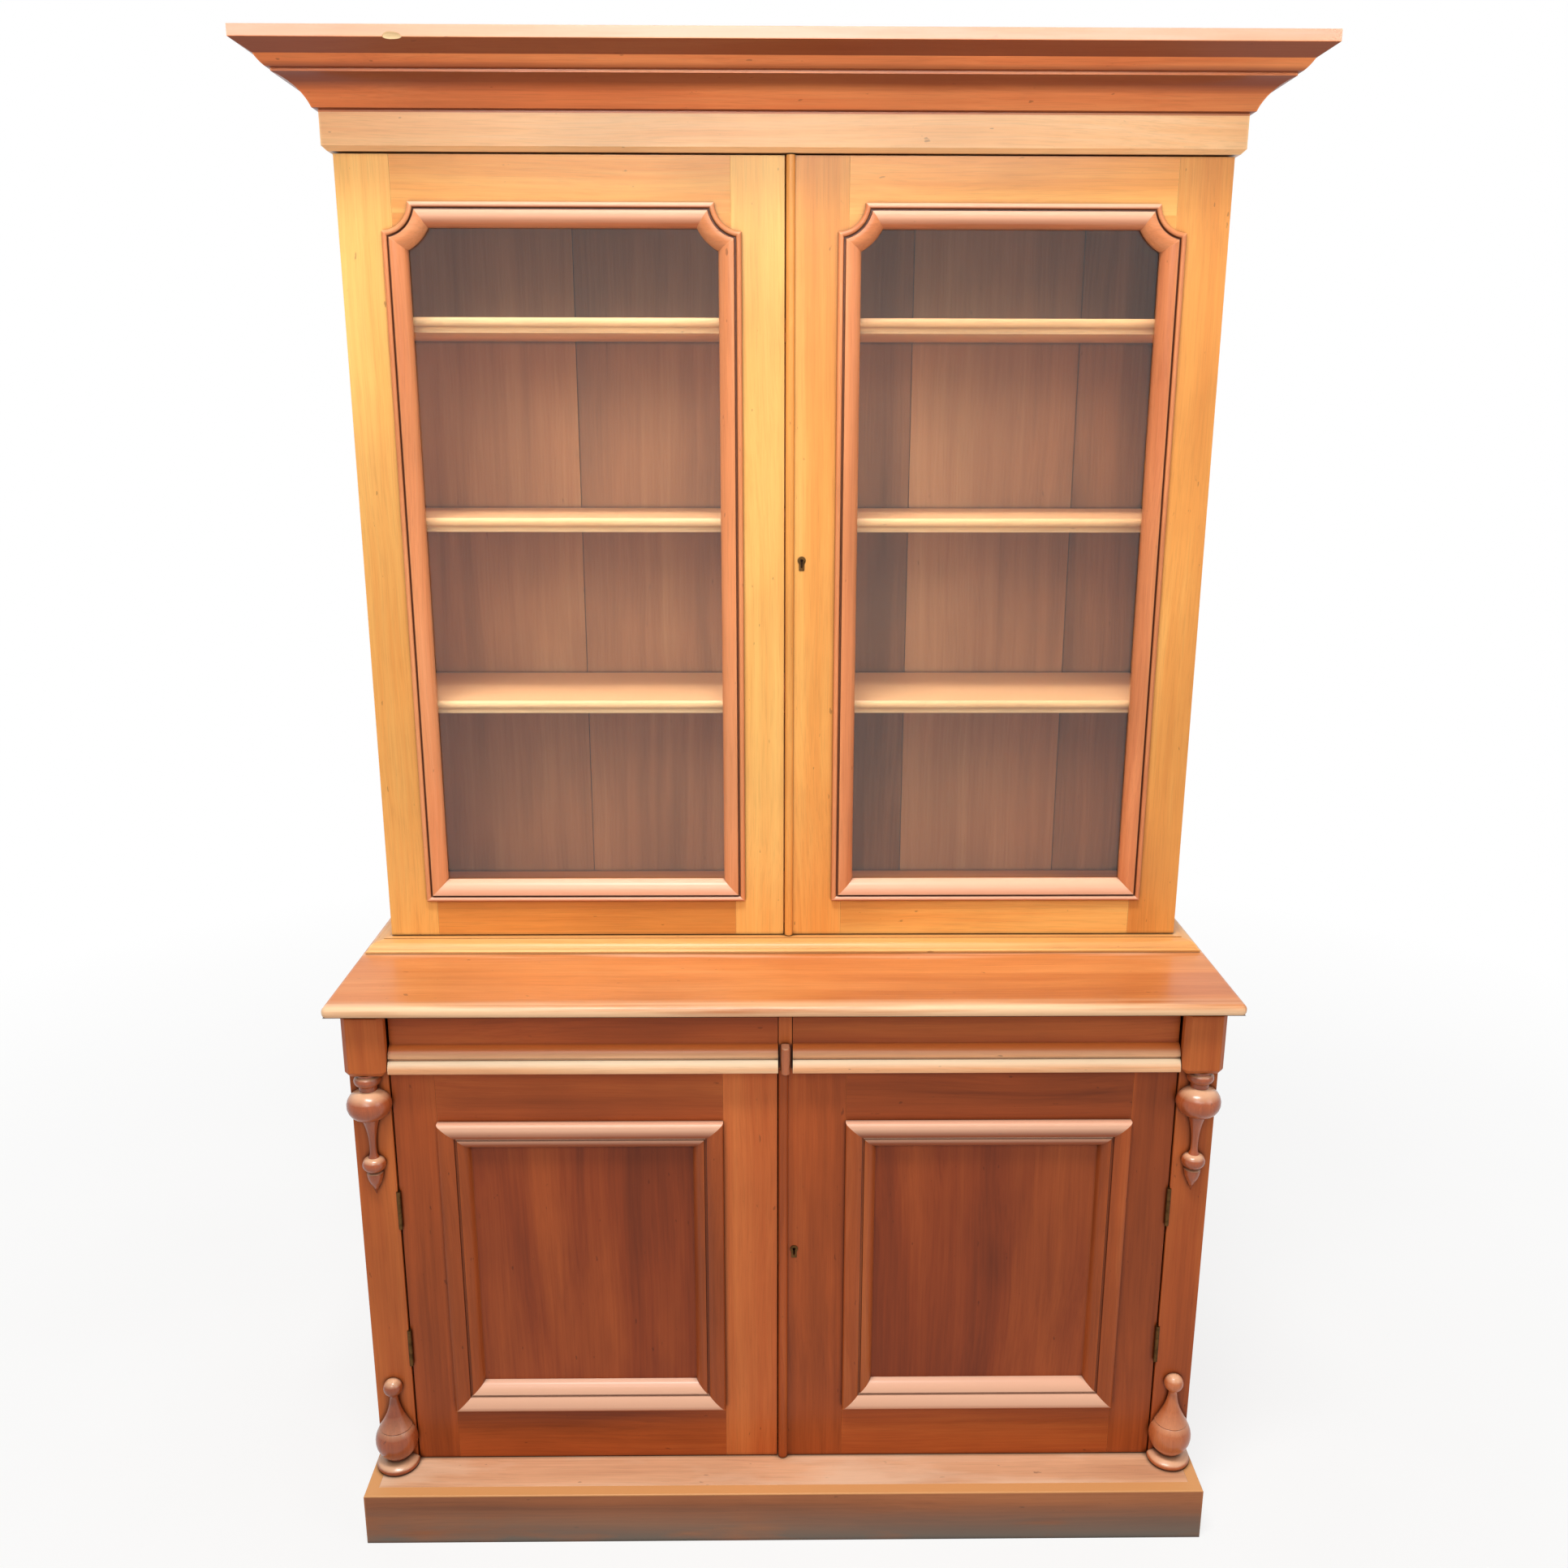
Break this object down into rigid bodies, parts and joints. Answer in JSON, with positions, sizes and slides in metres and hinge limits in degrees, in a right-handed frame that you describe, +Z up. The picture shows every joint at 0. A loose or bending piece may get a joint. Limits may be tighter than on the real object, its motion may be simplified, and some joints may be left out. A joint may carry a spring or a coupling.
{
  "type": "library bookcase",
  "caption": "Tall two-stage mahogany library bookcase: glazed doors with scooped top corners over frieze drawers and panelled cupboard doors on a deep plinth.",
  "frame": {"origin": "on the floor, under the middle of the whole bookcase", "axes": "+X to the right, +Y to the back and +Z up, seen from the front; the doors face -Y"},
  "size_m": [1.448, 0.576, 2.21],
  "materials": {
    "upper_mahogany": "polished, golden",
    "glazing_mahogany": "polished",
    "cornice_mahogany": "polished",
    "ledge_mahogany": "polished",
    "lower_mahogany": "polished, red-brown",
    "flame_mahogany": "polished, dark figure",
    "moulding_mahogany": "polished",
    "plinth_mahogany": "worn and scuffed",
    "dusty_mahogany": "dusty polish",
    "back_mahogany": "dull",
    "shelf_wood": "pale, waxed",
    "lining_pine": "bare",
    "glass": "clear",
    "brass": "aged",
    "steel": "dull"
  },
  "bodies": {
    "carcase": {"plinth_frame": "plinth_mahogany", "plinth_top_board": "dusty_mahogany", "lower_sides": "lower_mahogany", "lower_bottom_board": "lower_mahogany", "lower_back_boards": "back_mahogany", "pilasters": "lower_mahogany", "corner_blocks": "lower_mahogany", "pendants": "lower_mahogany", "finials": "lower_mahogany", "drawer_rail": "lower_mahogany", "dust_board": "lining_pine", "drawer_divider": "lower_mahogany", "drawer_guides": "lining_pine", "cupboard_shelf": "lining_pine", "cupboard_shelf_bearers": "lining_pine", "lower_top_board": "ledge_mahogany", "upper_sides": "upper_mahogany", "shelf_pegs": "shelf_wood", "upper_bottom_board": "upper_mahogany", "upper_top_board": "upper_mahogany", "upper_back_boards": "back_mahogany", "bottom_shelf": "shelf_wood", "middle_shelf": "shelf_wood", "top_shelf": "shelf_wood", "waist_moulding": "ledge_mahogany", "frieze_boards": "upper_mahogany", "cornice": "cornice_mahogany", "cornice_dust_board": "lining_pine", "carcase_hinge_leaves": "brass", "hinge_pins": "brass"},
    "upper_left_door": {"upper_left_door_frame": "upper_mahogany", "upper_left_door_moulding": "glazing_mahogany", "upper_left_door_glass": "glass", "upper_left_door_glass_beads": "upper_mahogany", "upper_left_door_brassware": "brass"},
    "upper_right_door": {"upper_right_door_frame": "upper_mahogany", "upper_right_door_moulding": "glazing_mahogany", "upper_right_door_glass": "glass", "upper_right_door_glass_beads": "upper_mahogany", "upper_right_door_brassware": "brass", "upper_cock_bead": "upper_mahogany", "upper_lock": "brass"},
    "lower_left_door": {"lower_left_door_frame": "lower_mahogany", "lower_left_door_moulding": "moulding_mahogany", "lower_left_door_panel": "flame_mahogany", "lower_left_door_brassware": "brass"},
    "lower_right_door": {"lower_right_door_frame": "lower_mahogany", "lower_right_door_moulding": "moulding_mahogany", "lower_right_door_panel": "flame_mahogany", "lower_right_door_brassware": "brass", "lower_cock_bead": "lower_mahogany", "lower_lock": "brass"},
    "left_drawer": {"left_drawer_front": "moulding_mahogany", "left_drawer_box": "lining_pine"},
    "right_drawer": {"right_drawer_front": "moulding_mahogany", "right_drawer_box": "lining_pine"},
    "upper_lock_bolt": {"upper_lock_bolt": "steel"},
    "lower_lock_bolt": {"lower_lock_bolt": "steel"},
    "upper_flush_bolt": {"upper_left_flush_bolt": "steel"},
    "lower_flush_bolt": {"lower_left_flush_bolt": "steel"}
  },
  "joints": [
    {"name": "upper_left_door_swing", "type": "hinge", "parent": "carcase", "child": "upper_left_door", "pos_m": [-0.6308, 0.0099, 1.4955], "axis": [0, 0, -1], "range_deg": [0, 115]},
    {"name": "upper_right_door_swing", "type": "hinge", "parent": "carcase", "child": "upper_right_door", "pos_m": [0.6308, 0.0099, 1.4955], "axis": [0, 0, 1], "range_deg": [0, 115]},
    {"name": "lower_left_door_swing", "type": "hinge", "parent": "carcase", "child": "lower_left_door", "pos_m": [-0.59115, -0.2088, 0.433], "axis": [0, 0, -1], "range_deg": [0, 95]},
    {"name": "lower_right_door_swing", "type": "hinge", "parent": "carcase", "child": "lower_right_door", "pos_m": [0.59115, -0.2088, 0.433], "axis": [0, 0, 1], "range_deg": [0, 95]},
    {"name": "left_drawer_slide", "type": "slide", "parent": "carcase", "child": "left_drawer", "axis": [0, -1, 0], "range_m": [0, 0.33]},
    {"name": "right_drawer_slide", "type": "slide", "parent": "carcase", "child": "right_drawer", "axis": [0, -1, 0], "range_m": [0, 0.33]},
    {"name": "upper_lock_bolt_throw", "type": "slide", "parent": "upper_right_door", "child": "upper_lock_bolt", "axis": [-1, 0, 0], "range_m": [0, 0.008]},
    {"name": "lower_lock_bolt_throw", "type": "slide", "parent": "lower_right_door", "child": "lower_lock_bolt", "axis": [-1, 0, 0], "range_m": [0, 0.008]},
    {"name": "upper_flush_bolt_rise", "type": "slide", "parent": "upper_left_door", "child": "upper_flush_bolt", "axis": [0, 0, 1], "range_m": [0, 0.018]},
    {"name": "lower_flush_bolt_rise", "type": "slide", "parent": "lower_left_door", "child": "lower_flush_bolt", "axis": [0, 0, 1], "range_m": [0, 0.018]}
  ]
}
